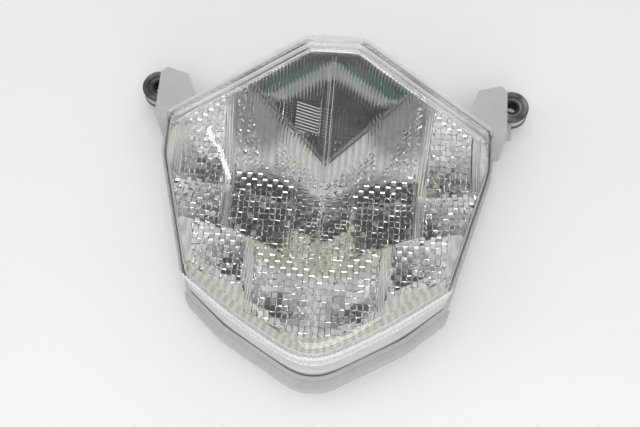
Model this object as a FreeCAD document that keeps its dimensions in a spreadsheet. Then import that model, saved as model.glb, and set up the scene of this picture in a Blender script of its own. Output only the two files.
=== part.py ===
import FreeCAD, Part
import math
import os
import Sketcher

# Motorcycle tail light, lying on its back: +Z is the way the lens faces, +Y is
# the top of the lamp, +X is right as seen from the lens side.  Millimetres.

SIZES = {
    # outline of the lens foot, right half, from the flat top down to the tip
    "top_half": 15.5,
    "top_y": 91.5,
    "shoulder_half": 82.5,
    "shoulder_y": 43.2,
    "side_half": 84.5,
    "side_y": 24.7,
    "low_half": 64.0,
    "low_y": 48.3,
    "foot_half": 45.0,
    "foot_y": 64.8,
    "tip_y": 87.3,
    "tip_radius": 24.0,
    # how far the front edge of the lens stands inside its foot
    "front_side_step": 0.4,
    "front_tip_step": 2.4,
    "corner_round": 5.0,
    # levels from the back face to the front
    "floor_wall": 2.5,
    "board_level": 11.0,
    "tub_inset": 10.0,
    "tub_draft": 3.0,
    "tub_depth": 8.0,
    "band_depth": 10.0,
    "skirt_depth": 22.0,
    "crown_depth": 4.0,
    "crown_slope": 62.0,
    "lens_wall": 2.4,
    # the joint between lens and housing
    "rim_wall": 2.2,
    "foot_depth": 3.0,
    "seal_depth": 1.0,
    "groove_gap": 0.15,
    "band_inner_wall": 2.0,
    "lip_reach": 4.2,
    "lip_depth": 9.0,
    # ears, measured from the shoulder corner of the lens
    "ear_root_in": 14.7,
    "ear_crest_in": 5.5,
    "ear_crest_up": 23.0,
    "ear_peak_out": 6.5,
    "ear_peak_up": 26.5,
    "ear_reach": 9.5,
    "ear_outer_up": 23.0,
    "ear_root_down": 3.0,
    "ear_wall": 2.4,
    "ear_round": 1.2,
    "ear_top_gap": 1.5,
    # grommets in the tabs outside the ears
    "grommet_out": 6.0,
    "grommet_up": 28.0,
    "grommet_flange_r": 9.3,
    "grommet_flange": 3.2,
    "grommet_neck_r": 6.5,
    "grommet_recess_r": 6.2,
    "grommet_recess": 1.6,
    "grommet_room": 0.6,
    "tab_level": 7.5,
    "tab_thick": 4.0,
    "tab_ring_r": 8.9,
    "sleeve_r": 4.4,
    "bolt_hole_r": 3.1,
    # main board and the reflector in front of it
    "board_thick": 1.6,
    "board_margin": 7.0,
    "led_side": 3.5,
    "led_tall": 1.4,
    "led_gap": 0.4,
    "reflector_level": 22.0,
    "reflector_thick": 2.0,
    "reflector_margin": 6.0,
    "cup_top_r": 8.0,
    "cup_low_r": 3.6,
    "cup_wall": 1.0,
    "post_r": 3.4,
    "screw_shank_r": 1.25,
    "screw_head_r": 2.6,
    "screw_head": 1.8,
    "screw_slot": 0.7,
    "screw_cross": 3.6,
    "screw_bite": 5.0,
    "screw_gap": 0.15,
    # upper window: its dark chamber and light guide, measured down from the flat top
    "window_top_half": 13.0,
    "window_top_down": 9.5,
    "window_half": 39.5,
    "window_side_down": 30.0,
    "window_low_down": 71.5,
    "bezel_wall": 1.5,
    "bezel_gap": 0.4,
    "bezel_front_gap": 2.0,
    "guide_side_in": 7.5,
    "guide_width": 8.0,
    "guide_drop": 22.0,
    "guide_end_in": 6.0,
    "guide_end_down": 3.0,
    "guide_top_down": 12.5,
    "guide_thick": 3.5,
    "guide_level": 33.0,
    "guide_board_thick": 1.2,
    "guide_board_drop": 2.4,
    "guide_board_width": 4.0,
    "guide_board_reach": 4.0,
    "guide_led_side": 2.2,
    "guide_led_tall": 1.2,
    "guide_led_out": 0.5,
    "guide_led_up": 3.0,
    # finned heat sink in the left half of the chamber
    "sink_out": 0.3114,
    "sink_down": 41.3,
    "sink_share": 0.3165,
    "sink_length": 17.5,
    "sink_base": 1.5,
    "fin_high": 15.0,
    "fin_low": 8.0,
    "fin_thick": 1.0,
    # number-plate light
    "plate_board_in": 14.0,
    "plate_board_width": 34.0,
    "plate_board_tall": 8.5,
    "plate_led_gap": 12.0,
    # electronics on the main board
    "chip_length": 5.0,
    "chip_width": 4.0,
    "chip_tall": 1.6,
    "resistor_length": 3.2,
    "resistor_width": 1.6,
    "resistor_tall": 0.6,
    "diode_length": 4.6,
    "diode_width": 2.7,
    "diode_tall": 2.2,
    # connector socket and breather on the back
    "socket_down": 63.0,
    "socket_width": 22.0,
    "socket_height": 11.0,
    "socket_wall": 1.4,
    "socket_flange_reach": 2.2,
    "socket_flange": 1.8,
    "socket_seal": 0.8,
    "socket_gap": 0.15,
    "pin_pitch": 5.0,
    "pin_width": 2.8,
    "pin_thick": 0.8,
    "pin_recess": 5.6,
    "pin_tail": 1.0,
    "vent_x": 30.0,
    "vent_y": 8.0,
    "vent_r": 5.0,
    "vent_recess": 1.6,
    "vent_hole_r": 2.0,
    "vent_cap": 0.9,
    "vent_cap_in": 0.3,
    "vent_cap_hole_r": 0.8,
    "vent_cap_ring": 2.6,
    "membrane_thick": 0.3,
}
FIN_COUNT = 10
PIN_COUNT = 3
PLATE_LED_COUNT = 3
VENT_HOLE_COUNT = 4

# Spots as shares of the half width (side_half) and of the lower half length (tip_y).
TAIL_SPOTS = [(0.74, 0.20), (0.62, -0.13), (0.47, -0.47), (0.24, -0.66)]
BRAKE_SPOTS = [(0.43, 0.12), (0.36, -0.20), (0.125, -0.14), (0.0, -0.42)]
SCREW_SPOTS = [(0.58, 0.47), (0.76, 0.02), (0.60, -0.38), (0.0, 0.09)]
RESISTOR_SPOTS = [(0.16, 0.44), (0.16, 0.39), (0.23, 0.51), (0.23, 0.46), (0.05, 0.49), (0.05, 0.44)]
DIODE_SPOTS = [(0.06, 0.72), (0.18, 0.66)]
CHIP_SPOTS = [(0.12, 0.56)]

doc = FreeCAD.newDocument("tail_light")
sheet = doc.addObject("Spreadsheet::Sheet", "dims")
for row, (word, number) in enumerate(SIZES.items(), start=1):
    sheet.set("A%d" % row, word)
    sheet.set("B%d" % row, str(number))
    sheet.setAlias("B%d" % row, word)
doc.recompute()

EXPORTS = []


def evaluate(expression):
    """The value of an expression of sheet words, found by FreeCAD itself."""
    return float(sheet.evalExpression(str(expression)))


def in_sheet(expression):
    """The same expression as other objects write it, with dims. before every sheet word."""
    text = ""
    word = ""
    for letter in str(expression) + " ":
        if letter.isalnum() or letter == "_":
            word += letter
            continue
        text += ("dims." + word if word in SIZES else word) + letter
        word = ""
    return text.strip()


def bind(item, **expressions):
    """Binds properties to expressions; x, y and z stand for the placement."""
    for name, expression in expressions.items():
        path = "Placement.Base." + name if name in ("x", "y", "z") else name
        item.setExpression(path, in_sheet(expression))
    return item


def make(kind, name, **expressions):
    return bind(doc.addObject(kind, name), **expressions)


def box(name, long_x, long_y, long_z, x, y, z):
    """A box centred on x and y that stands on z."""
    return make("Part::Box", name, Length=long_x, Width=long_y, Height=long_z,
                x="(%s) - (%s) / 2" % (x, long_x), y="(%s) - (%s) / 2" % (y, long_y), z=z)


def rod(name, radius, tall, x, y, z):
    return make("Part::Cylinder", name, Radius=radius, Height=tall, x=x, y=y, z=z)


def cone(name, low_radius, high_radius, tall, x, y, z):
    return make("Part::Cone", name, Radius1=low_radius, Radius2=high_radius, Height=tall,
                x=x, y=y, z=z)


def fuse(name, shapes):
    item = doc.addObject("Part::MultiFuse", name)
    item.Shapes = shapes
    return item


def common(name, shapes):
    item = doc.addObject("Part::MultiCommon", name)
    item.Shapes = shapes
    return item


def group(name, shapes):
    """Separate solids kept together as one sub-part."""
    item = doc.addObject("Part::Compound", name)
    item.Links = shapes
    return item


def cut(name, base, *tools):
    """The base less each tool in turn."""
    item = base
    for number, tool in enumerate(tools, start=1):
        before = item
        item = doc.addObject("Part::Cut", name if number == len(tools) else "%s_%d" % (name, number))
        item.Base = before
        item.Tool = tool
    return item


def offset(name, source, amount, sharp=False):
    """An outline moved outwards by amount; arcs round the corners unless sharp."""
    item = doc.addObject("Part::Offset2D", name)
    item.Source = source
    item.Join = 2 if sharp else 0
    return bind(item, Value=amount)


def rounded(name, source, inset, radius="corner_round"):
    """An outline moved inwards by inset, with its corners rounded to radius."""
    sharp = offset(name + "_sharp", source, "-(%s) - (%s)" % (inset, radius), sharp=True)
    return offset(name, sharp, radius)


def lifted(name, outline, z):
    """A flat outline at another level."""
    item = group(name, [outline])
    return bind(item, z=z)


def prism(name, profile, tall, z, taper=None):
    item = doc.addObject("Part::Extrusion", name)
    item.Base = profile
    item.DirMode = "Custom"
    item.Dir = FreeCAD.Vector(0, 0, 1)
    item.Solid = True
    bind(item, LengthFwd=tall, z=z)
    if taper:
        bind(item, TaperAngle=taper)
    return item


def loft(name, low, high):
    item = doc.addObject("Part::Loft", name)
    item.Sections = [low, high]
    item.Solid = True
    item.Ruled = True
    return item


def mirrored(name, source):
    """The same shape on the left side."""
    item = doc.addObject("Part::Mirroring", name)
    item.Source = source
    item.Normal = FreeCAD.Vector(1, 0, 0)
    return item


def export(item, label):
    item.Label = label
    EXPORTS.append(item)
    return item


def places(spots):
    """Places, as expressions, of spots given as shares."""
    return [("%g * side_half" % share_x, "%g * tip_y" % share_y) for share_x, share_y in spots]


def spread(spots):
    """The same on both sides of the lamp, once only where a spot is on the middle."""
    return places(spots + [(-share_x, share_y) for share_x, share_y in spots if share_x])


def hold(sketch, kind, start, start_end, end, end_end, expression):
    """A sketch dimension bound to the sheet."""
    rule = Sketcher.Constraint(kind, start, start_end, end, end_end, evaluate(expression))
    sketch.setExpression("Constraints[%d]" % sketch.addConstraint(rule), in_sheet(expression))


def hold_corner(sketch, line, across, along):
    """Holds a line's first point against the sketch's origin."""
    for kind, expression in (("DistanceX", across), ("DistanceY", along)):
        if evaluate(expression) < 0:
            hold(sketch, kind, line, 1, -1, 1, "-(%s)" % expression)
        else:
            hold(sketch, kind, -1, 1, line, 1, expression)


def polygon(name, corners):
    """A closed polygon whose corners are pairs of expressions."""
    sketch = doc.addObject("Sketcher::SketchObject", name)
    points = [FreeCAD.Vector(evaluate(x), evaluate(y), 0) for x, y in corners]
    ends = points[1:] + points[:1]
    lines = [sketch.addGeometry(Part.LineSegment(start, end), False)
             for start, end in zip(points, ends)]
    for line, following, corner in zip(lines, lines[1:] + lines[:1], corners):
        sketch.addConstraint(Sketcher.Constraint("Coincident", line, 2, following, 1))
        hold_corner(sketch, line, *corner)
    return sketch


def both_sides(corners):
    """Corners of the right half, from top to bottom, and their mirror images."""
    left = [("-(%s)" % x, y) for x, y in corners if x != "0"]
    return corners + left[::-1]


def shield(name, corners, tip):
    """The lamp's outline: straight sides, and a round tip tangent to the last two."""
    sketch = doc.addObject("Sketcher::SketchObject", name)
    radius = evaluate("tip_radius")
    centre = FreeCAD.Vector(0, radius - evaluate(tip), 0)
    right = [FreeCAD.Vector(evaluate(x), evaluate(y), 0) for x, y in corners]
    reach = right[-1] - centre
    angle = math.atan2(reach.y, reach.x) - math.acos(radius / reach.Length)
    right.append(centre + FreeCAD.Vector(radius * math.cos(angle), radius * math.sin(angle), 0))
    left = [FreeCAD.Vector(-point.x, point.y, 0) for point in right]
    rule = Sketcher.Constraint
    top = sketch.addGeometry(Part.LineSegment(left[0], right[0]), False)
    sides = [[sketch.addGeometry(Part.LineSegment(start, end), False)
              for start, end in zip(points, points[1:])] for points in (right, left)]
    circle = Part.Circle(centre, FreeCAD.Vector(0, 0, 1), radius)
    arc = sketch.addGeometry(Part.ArcOfCircle(circle, math.pi - angle, 2 * math.pi + angle), False)
    for side, end in zip(sides, (2, 1)):
        sketch.addConstraint(rule("Coincident", top, end, side[0], 1))
        for first, second in zip(side, side[1:]):
            sketch.addConstraint(rule("Coincident", first, 2, second, 1))
        sketch.addConstraint(rule("Tangent", side[-1], 2, arc, end))
    for first, second in zip(*sides):
        sketch.addConstraint(rule("Symmetric", first, 1, second, 1, -2))
    sketch.addConstraint(rule("PointOnObject", arc, 3, -2))
    sketch.setExpression("Constraints[%d]" % sketch.addConstraint(rule("Radius", arc, radius)),
                         "dims.tip_radius")
    hold(sketch, "DistanceY", arc, 3, -1, 1, "(%s) - tip_radius" % tip)
    for line, corner in zip(sides[0], corners):
        hold_corner(sketch, line, *corner)
    return sketch


# Levels and places that several pieces share
BAND_TOP = "(tub_depth + band_depth)"
FOOT_LOW = "(tub_depth + band_depth - foot_depth)"
FRONT = "(tub_depth + band_depth + skirt_depth)"
BOARD_TOP = "(board_level + board_thick)"
REFLECTOR_TOP = "(reflector_level + reflector_thick)"
TAB_TOP = "(tab_level + tab_thick)"
GROMMET_X = "(shoulder_half + ear_reach + grommet_out)"
GROMMET_Y = "(shoulder_y + grommet_up)"
GROMMET_LOW = "(tab_level - grommet_flange)"
GROMMET_TALL = "(tab_thick + 2 * grommet_flange)"
GUIDE_TOP_Y = "(top_y - guide_top_down)"
GUIDE_HALF = "(window_half - guide_side_in)"
GUIDE_BOARD_LOW = "(guide_level - guide_board_thick - guide_board_drop)"
SINK_Y = "(top_y - sink_down)"
SINK_X = "(window_half * sink_out)"
SINK_WIDTH = "(window_half * sink_share)"
CUP_LOW = "(board_level + board_thick + led_tall + led_gap)"
BEZEL_LOW = "(board_level + board_thick + diode_tall + bezel_gap)"
WINDOW_SIDE_Y = "(top_y - window_side_down)"
SOCKET_Y = "(top_y - socket_down)"

foot_corners = [
    ("top_half", "top_y"),
    ("shoulder_half", "shoulder_y"),
    ("side_half", "side_y"),
    ("low_half", "-low_y"),
    ("foot_half", "-foot_y")]
front_corners = [
    ("top_half", "top_y"),
    ("shoulder_half", "shoulder_y"),
    ("side_half - front_side_step", "side_y"),
    ("low_half - front_side_step", "front_tip_step / 4 - low_y"),
    ("foot_half - front_side_step", "front_tip_step / 2 - foot_y")]
foot_outline = shield("foot_outline", foot_corners, "tip_y")
front_outline = shield("front_outline", front_corners, "tip_y - front_tip_step")
window_outline = polygon("window_outline", both_sides([
    ("window_top_half", "top_y - window_top_down"),
    ("window_half", WINDOW_SIDE_Y),
    ("0", "top_y - window_low_down")]))
foot_round = rounded("foot_round", foot_outline, "0")
foot_inner = rounded("foot_inner", foot_outline, "lens_wall")
front_round = rounded("front_round", front_outline, "0")
front_inner = rounded("front_inner", front_outline, "lens_wall")
groove_outer = offset("groove_outer", foot_round, "groove_gap")
groove_inner = rounded("groove_inner", foot_outline, "lens_wall + groove_gap")
band_outline = offset("band_outline", groove_outer, "rim_wall")
band_hollow = rounded("band_hollow", foot_outline, "lens_wall + groove_gap + band_inner_wall")
tub_low = offset("tub_low", band_outline, "-tub_inset")
tub_high = offset("tub_high", band_outline, "tub_draft - tub_inset")
tub_hollow = offset("tub_hollow", tub_low, "-floor_wall")


def ring_prism(name, outer, inner, tall, z):
    return cut(name, prism(name + "_outer", outer, tall, z), prism(name + "_inner", inner, tall, z))


def lens_skirt(name, foot, front):
    return loft("lens_skirt_" + name, lifted("lens_base_" + name, foot, BAND_TOP),
                lifted("lens_edge_" + name, front, FRONT))


def make_lens():
    """Clear cap: upright foot, leaning skirt and low bevelled crown."""
    foot = ring_prism("lens_foot", foot_round, foot_inner, "foot_depth", FOOT_LOW)
    skirt = cut("lens_skirt", lens_skirt("outer", foot_round, front_round),
                lens_skirt("inner", foot_inner, front_inner))
    crown = cut("lens_crown",
                prism("crown_outer", front_round, "crown_depth", FRONT, taper="-crown_slope"),
                prism("crown_inner", front_inner, "crown_depth - lens_wall", FRONT,
                      taper="-crown_slope"))
    export(fuse("lens_cap", [foot, skirt, crown]), "lens")


def make_seal():
    export(ring_prism("seal_ring", foot_round, foot_inner, "seal_depth",
                      FOOT_LOW + " - seal_depth"), "lens_seal")


def ear_shape():
    """The hollow gusset outside the right shoulder, open at the back."""
    root = "shoulder_y - ear_root_down"
    outer_x = "shoulder_half + ear_reach"
    plan = polygon("ear_plan", [
        ("shoulder_half - ear_root_in", root),
        ("shoulder_half - ear_crest_in", "shoulder_y + ear_crest_up"),
        ("shoulder_half + ear_peak_out", "shoulder_y + ear_peak_up"),
        (outer_x, "shoulder_y + ear_outer_up"),
        (outer_x, root)])
    tall = FRONT + " - ear_top_gap - tub_depth"
    skin = prism("ear_skin", rounded("ear_round_plan", plan, "0", "ear_round"), tall, "tub_depth")
    core = prism("ear_core", offset("ear_core_plan", plan, "-ear_wall"), tall + " - ear_wall",
                 "tub_depth")
    core_clear = cut("ear_core_cut", core, prism("ear_core_keep", band_outline, FRONT, "0"))
    return cut("ear_gusset", skin, core_clear)


def tab_shape():
    """The tab with its ring around the grommet's neck, joined to the ear."""
    ring = rod("tab_ring", "tab_ring_r", "tab_thick", GROMMET_X, GROMMET_Y, "tab_level")
    arm = box("tab_arm", "tab_ring_r + grommet_out", "2 * tab_ring_r", "tab_thick",
              GROMMET_X + " - (tab_ring_r + grommet_out) / 2", GROMMET_Y + " - tab_ring_r", "tab_level")
    web = box("tab_web", "tab_ring_r", "tab_ring_r", "tab_thick",
              GROMMET_X + " - tab_ring_r / 2", GROMMET_Y + " - tab_ring_r / 2", "tab_level")
    return fuse("tab", [ring, arm, web])


def ear_with_tab():
    neck = rod("neck_hole", "grommet_neck_r", "tab_thick", GROMMET_X, GROMMET_Y, "tab_level")
    room_r = "grommet_flange_r + grommet_room"
    above = rod("room_above", room_r, "grommet_flange + grommet_room", GROMMET_X, GROMMET_Y, TAB_TOP)
    below = rod("room_below", room_r, "tab_level", GROMMET_X, GROMMET_Y, "0")
    return cut("ear", fuse("ear_and_tab", [ear_shape(), tab_shape()]), neck, above, below)


def lower_lip():
    """The lip that stands out towards the tip, below the lower side corners."""
    wide = bind(prism("lip_wide", band_outline, "lip_depth", "tub_depth"), y="-lip_reach")
    lower = box("lip_zone", "4 * side_half", "2 * tip_y", "band_depth", "0", "-low_y - tip_y",
                "tub_depth")
    return common("lower_lip", [wide, lower])


def screw_posts():
    return [rod("post_%d" % number, "post_r", "board_level - floor_wall / 2", x, y, "floor_wall / 2")
            for number, (x, y) in enumerate(spread(SCREW_SPOTS), start=1)]


def screw_holes(name, radius, tall, z):
    return [rod("%s_%d" % (name, number), radius, tall, x, y, z)
            for number, (x, y) in enumerate(spread(SCREW_SPOTS), start=1)]


def socket_block(name, grow, tall, z):
    return box(name, "socket_width + 2 * (%s)" % grow, "socket_height + 2 * (%s)" % grow, tall,
               "0", SOCKET_Y, z)


def make_housing():
    ear = ear_with_tab()
    back = loft("tub", lifted("tub_back", tub_low, "0"), lifted("tub_front", tub_high, "tub_depth"))
    band = prism("band", band_outline, "band_depth", "tub_depth")
    shell = fuse("housing_shell", [back, band, lower_lip(), ear, mirrored("ear_left", ear)])
    hollow = prism("hollow_band", band_hollow, "band_depth", "tub_depth + floor_wall")
    deep = prism("hollow_tub", tub_hollow, "tub_depth", "floor_wall")
    lens_room = prism("lens_room", groove_outer, "skirt_depth + crown_depth", BAND_TOP)
    groove = ring_prism("groove", groove_outer, groove_inner, "foot_depth + seal_depth",
                        FOOT_LOW + " - seal_depth")
    tub = cut("housing_tub", shell, hollow, deep, lens_room, groove)
    posted = fuse("housing_posts", [tub] + screw_posts())
    pilots = screw_holes("pilot", "screw_shank_r + screw_gap", "screw_bite + screw_gap",
                         "board_level - screw_bite - screw_gap")
    opening = socket_block("socket_opening", "socket_gap", "2 * floor_wall", "-floor_wall / 2")
    recess = rod("vent_recess", "vent_r", "vent_recess", "vent_x", "vent_y", "0")
    breath = rod("vent_hole", "vent_hole_r", "2 * floor_wall", "vent_x", "vent_y", "0")
    export(cut("housing_body", posted, opening, recess, breath, *pilots), "housing")


def make_grommets():
    """Flanged rubber bushes, snapped into the tabs, with their spacer sleeves."""
    neck = rod("grommet_neck", "grommet_neck_r", GROMMET_TALL, GROMMET_X, GROMMET_Y, GROMMET_LOW)
    flanges = [rod("grommet_flange_%s" % name, "grommet_flange_r", "grommet_flange",
                   GROMMET_X, GROMMET_Y, z) for name, z in (("low", GROMMET_LOW), ("high", TAB_TOP))]
    body = fuse("grommet_body", [neck] + flanges)
    bore = rod("grommet_bore", "sleeve_r", GROMMET_TALL, GROMMET_X, GROMMET_Y, GROMMET_LOW)
    dishes = [rod("grommet_dish_%s" % name, "grommet_recess_r", "grommet_recess",
                  GROMMET_X, GROMMET_Y, z)
              for name, z in (("low", GROMMET_LOW),
                              ("high", GROMMET_LOW + " + " + GROMMET_TALL + " - grommet_recess"))]
    grommet = cut("grommet", body, bore, *dishes)
    export(grommet, "grommet_right")
    export(mirrored("grommet_mirror", grommet), "grommet_left")
    sleeve_tall = GROMMET_TALL + " - 2 * grommet_recess"
    sleeve_low = GROMMET_LOW + " + grommet_recess"
    sleeve = cut("sleeve", rod("sleeve_outer", "sleeve_r", sleeve_tall, GROMMET_X, GROMMET_Y, sleeve_low),
                 rod("sleeve_inner", "bolt_hole_r", sleeve_tall, GROMMET_X, GROMMET_Y, sleeve_low))
    export(sleeve, "sleeve_right")
    export(mirrored("sleeve_mirror", sleeve), "sleeve_left")


def pins(name, grow, z, tall):
    middle = (PIN_COUNT - 1) / 2
    return [box("%s_%d" % (name, number), "pin_width + 2 * %s" % grow, "pin_thick + 2 * %s" % grow,
                tall, "%g * pin_pitch" % (number - middle), SOCKET_Y, z)
            for number in range(PIN_COUNT)]


def make_socket():
    """Connector shroud, open at the back, with its flange, seal and blades."""
    flange_low = "floor_wall + socket_seal"
    shroud = socket_block("socket_shroud", "0", "board_level", "0")
    flange = socket_block("socket_flange", "socket_flange_reach", "socket_flange", flange_low)
    mouth = socket_block("socket_mouth", "-socket_wall", "board_level - socket_wall", "0")
    holes = pins("socket_pin_hole", "socket_gap", "0", BOARD_TOP)
    export(cut("socket_solid", fuse("socket_outer", [shroud, flange]), mouth, *holes), "socket_body")
    seal = socket_block("seal_block", "socket_flange_reach", "socket_seal", "floor_wall")
    inside = socket_block("seal_inside", "0", "socket_seal", "floor_wall")
    export(cut("socket_seal_ring", seal, inside), "socket_seal")
    blades = pins("blade", "0", "pin_recess", BOARD_TOP + " + pin_tail - pin_recess")
    export(group("blades", blades), "socket_pins")


def make_vent():
    """Breather: a membrane over the hole, behind a perforated cap in the recess."""
    membrane = rod("membrane", "vent_r", "membrane_thick", "vent_x", "vent_y",
                   "vent_recess - membrane_thick")
    export(membrane, "vent_membrane")
    cap = rod("cap_disc", "vent_r", "vent_cap", "vent_x", "vent_y", "vent_cap_in")
    holes = []
    for number in range(VENT_HOLE_COUNT):
        turn = 360 * number / VENT_HOLE_COUNT
        holes.append(rod("cap_hole_%d" % number, "vent_cap_hole_r", "vent_recess",
                         "vent_x + vent_cap_ring * cos(%g)" % turn,
                         "vent_y + vent_cap_ring * sin(%g)" % turn, "0"))
    export(cut("cap_holed", cap, *holes), "vent_cap")


def make_board():
    plan = rounded("board_plan", foot_outline, "board_margin")
    plate = prism("board_plate", plan, "board_thick", "board_level")
    holes = screw_holes("board_hole", "screw_shank_r + screw_gap", "board_thick", "board_level")
    slots = pins("board_slot", "socket_gap", "board_level", "board_thick")
    export(cut("board_solid", plate, *holes, *slots), "main_board")


def stand_on_board(name, spots, length, width, tall):
    boxes = [box("%s_%d" % (name, number), length, width, tall, x, y, BOARD_TOP)
             for number, (x, y) in enumerate(spots, start=1)]
    return export(group(name + "_group", boxes), name)


def make_electronics():
    stand_on_board("tail_leds", spread(TAIL_SPOTS), "led_side", "led_side", "led_tall")
    stand_on_board("brake_leds", spread(BRAKE_SPOTS), "led_side", "led_side", "led_tall")
    stand_on_board("resistors", places(RESISTOR_SPOTS), "resistor_length", "resistor_width",
                   "resistor_tall")
    stand_on_board("diodes", places(DIODE_SPOTS), "diode_length", "diode_width", "diode_tall")
    stand_on_board("driver_chip", places(CHIP_SPOTS), "chip_length", "chip_width", "chip_tall")


def cup(number, x, y):
    """One reflector bowl: its outer cone and the hollow inside it."""
    tall = REFLECTOR_TOP + " - " + CUP_LOW
    outer = cone("cup_outer_%d" % number, "cup_low_r + cup_wall", "cup_top_r + cup_wall", tall,
                 x, y, CUP_LOW)
    inner = cone("cup_inner_%d" % number, "cup_low_r", "cup_top_r", tall, x, y, CUP_LOW)
    return outer, inner


def make_reflector():
    plan = rounded("reflector_plan", front_outline, "reflector_margin")
    plate = prism("reflector_plate", plan, "reflector_thick", "reflector_level")
    bowls = [cup(number, x, y)
             for number, (x, y) in enumerate(spread(TAIL_SPOTS + BRAKE_SPOTS), start=1)]
    legs = [rod("leg_%d" % number, "post_r", "reflector_level - " + BOARD_TOP, x, y, BOARD_TOP)
            for number, (x, y) in enumerate(spread(SCREW_SPOTS), start=1)]
    solid = fuse("reflector_outer", [plate] + legs + [outer for outer, inner in bowls])
    window = prism("reflector_window", offset("reflector_window_plan", window_outline,
                                              "bezel_wall + bezel_gap", sharp=True), FRONT, "0")
    holes = screw_holes("leg_hole", "screw_shank_r + screw_gap", "reflector_level", BOARD_TOP)
    export(cut("reflector_solid", solid, window, *holes, *[inner for outer, inner in bowls]),
           "reflector")


def make_screws():
    """Cross-head screws through the reflector and the board into the housing's posts."""
    screws = []
    for number, (x, y) in enumerate(spread(SCREW_SPOTS), start=1):
        head = rod("head_%d" % number, "screw_head_r", "screw_head", x, y, REFLECTOR_TOP)
        shank = rod("shank_%d" % number, "screw_shank_r",
                    REFLECTOR_TOP + " - board_level + screw_bite", x, y, "board_level - screw_bite")
        slots = [box("slot_%d_%s" % (number, name), long_x, long_y, "screw_head", x, y,
                     REFLECTOR_TOP + " + screw_head / 2")
                 for name, long_x, long_y in (("a", "screw_cross", "screw_slot"),
                                              ("b", "screw_slot", "screw_cross"))]
        screws.append(cut("screw_%d" % number, fuse("screw_blank_%d" % number, [head, shank]), *slots))
    export(group("screws", screws), "reflector_screws")


def make_bezel():
    """Dark frame around the chamber behind the upper window."""
    outer = offset("bezel_outer", window_outline, "bezel_wall", sharp=True)
    tall = FRONT + " - bezel_front_gap - " + BEZEL_LOW
    export(ring_prism("bezel", outer, window_outline, tall, BEZEL_LOW), "window_bezel")


def chevron(name, apex_y, half, drop, width, end_in, end_down):
    """A roof-shaped outline with its apex up."""
    return polygon(name, both_sides([
        ("0", apex_y),
        (half, "%s - (%s)" % (apex_y, drop)),
        ("%s - (%s)" % (half, end_in), "%s - (%s) - (%s)" % (apex_y, drop, end_down)),
        ("0", "%s - (%s)" % (apex_y, width))]))


def make_guide():
    """Roof-shaped light guide behind the window, its board and the LEDs on that board."""
    plan = chevron("guide_plan", GUIDE_TOP_Y, GUIDE_HALF, "guide_drop", "guide_width",
                   "guide_end_in", "guide_end_down")
    export(prism("guide", plan, "guide_thick", "guide_level"), "light_guide")
    zone = prism("guide_board_zone", offset("guide_board_edge", window_outline,
                                            "-bezel_gap", sharp=True), FRONT, "0")
    raised = chevron("guide_board_plan", GUIDE_TOP_Y + " + guide_width",
                     GUIDE_HALF + " + guide_board_reach", "guide_drop",
                     "guide_width + guide_board_width", "guide_board_reach",
                     "guide_width + guide_end_down")
    plate = prism("guide_board_plate", raised, "guide_board_thick", GUIDE_BOARD_LOW)
    export(common("guide_board_solid", [plate, zone]), "guide_board")
    leds = [box("guide_led_" + name, "guide_led_side", "guide_led_side", "guide_led_tall",
                "%s * (%s + guide_led_out)" % (side, GUIDE_HALF),
                GUIDE_TOP_Y + " - guide_drop + guide_led_up",
                GUIDE_BOARD_LOW + " + guide_board_thick")
            for name, side in (("right", "1"), ("left", "-1"))]
    export(group("guide_led_pair", leds), "guide_leds")


def make_heat_sink():
    """Finned sink on the board, its fins sloping down towards the middle of the lamp."""
    left = "-(%s + %s / 2)" % (SINK_X, SINK_WIDTH)
    right = "-(%s - %s / 2)" % (SINK_X, SINK_WIDTH)
    profile = polygon("fin_profile", [
        (left, BOARD_TOP),
        (right, BOARD_TOP),
        (right, BOARD_TOP + " + fin_low"),
        (left, BOARD_TOP + " + fin_high")])
    profile.Placement.Rotation = FreeCAD.Rotation(FreeCAD.Vector(1, 0, 0), 90)
    shapes = [box("sink_plate", SINK_WIDTH, "sink_length", "sink_base", "-" + SINK_X, SINK_Y,
                  BOARD_TOP)]
    for number in range(FIN_COUNT):
        fin = doc.addObject("Part::Extrusion", "fin_%d" % number)
        fin.Base = profile
        fin.DirMode = "Normal"
        fin.Solid = True
        share = number / (FIN_COUNT - 1)
        bind(fin, LengthFwd="fin_thick",
             y=SINK_Y + " - sink_length / 2 + fin_thick + %g * (sink_length - fin_thick)" % share)
        shapes.append(fin)
    export(fuse("sink", shapes), "heat_sink")


def make_plate_light():
    """Upright board with LEDs that light the number plate through the lower window."""
    board_y = "(plate_board_in - tip_y)"
    export(box("plate_card", "plate_board_width", "board_thick", "plate_board_tall", "0", board_y,
               BOARD_TOP), "plate_board")
    middle = (PLATE_LED_COUNT - 1) / 2
    leds = [box("plate_led_%d" % number, "led_side", "led_tall", "led_side",
                "%g * plate_led_gap" % (number - middle),
                board_y + " - board_thick / 2 - led_tall / 2",
                BOARD_TOP + " + (plate_board_tall - led_side) / 2")
            for number in range(PLATE_LED_COUNT)]
    export(group("plate_led_row", leds), "plate_leds")


make_housing()
make_lens()
make_seal()
make_grommets()
make_socket()
make_vent()
make_board()
make_electronics()
make_reflector()
make_screws()
make_bezel()
make_guide()
make_heat_sink()
make_plate_light()
doc.recompute()

for item in doc.Objects:
    if "Invalid" in item.State or "Error" in item.State:
        raise RuntimeError("%s did not build" % item.Name)
for item in EXPORTS:
    if item.Shape.isNull() or not item.Shape.isValid() or not item.Shape.Solids:
        raise RuntimeError("%s has no valid solid" % item.Label)

os.makedirs("parts", exist_ok=True)
for item in EXPORTS:
    item.Shape.exportStep("parts/%s.step" % item.Label)
    print(item.Label, len(item.Shape.Solids), "solids", round(item.Shape.Volume), "mm3")
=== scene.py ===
import math

import bmesh
import bpy
from mathutils import Matrix, Vector
from mathutils.geometry import delaunay_2d_cdt


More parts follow.
